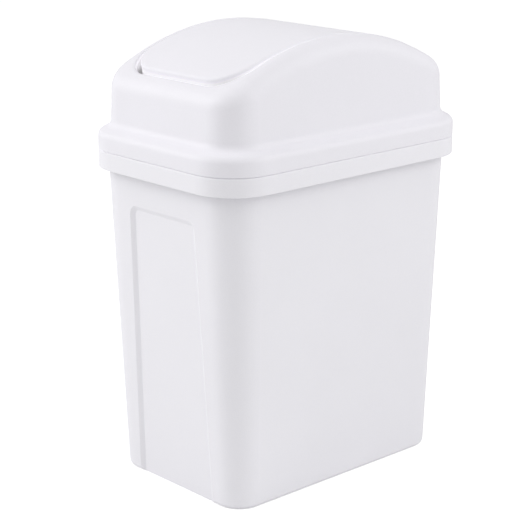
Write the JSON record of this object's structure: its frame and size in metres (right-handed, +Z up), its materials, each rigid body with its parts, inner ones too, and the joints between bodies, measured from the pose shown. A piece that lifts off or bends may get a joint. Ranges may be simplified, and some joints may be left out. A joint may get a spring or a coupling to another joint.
{
  "type": "countertop swing-lid bin",
  "caption": "Small white plastic bin with a tapered tub, a domed lift-off lid and an arched flap that swings both ways.",
  "frame": {"origin": "centre of the base, on the surface that the bin stands on", "axes": "+Z up; +X along the length of the bin, towards one narrow end; +Y across it, along the axis of the flap's pins"},
  "size_m": [0.24, 0.1648, 0.3279],
  "materials": {
    "tub_plastic": "white, very fine matte grain",
    "lid_plastic": "white, smooth satin"
  },
  "bodies": {
    "bin": {"bin_body": "tub_plastic"},
    "lid": {"lid_frame": "lid_plastic"},
    "flap": {"swing_flap": "lid_plastic"}
  },
  "joints": [
    {"name": "lid_lift", "type": "slide", "parent": "bin", "child": "lid", "axis": [0, 0, 1], "range_m": [0, 0.12]},
    {"name": "flap_swing", "type": "hinge", "parent": "lid", "child": "flap", "pos_m": [0, 0, 0.3199], "axis": [0, 1, 0], "range_deg": [-90, 90]}
  ]
}
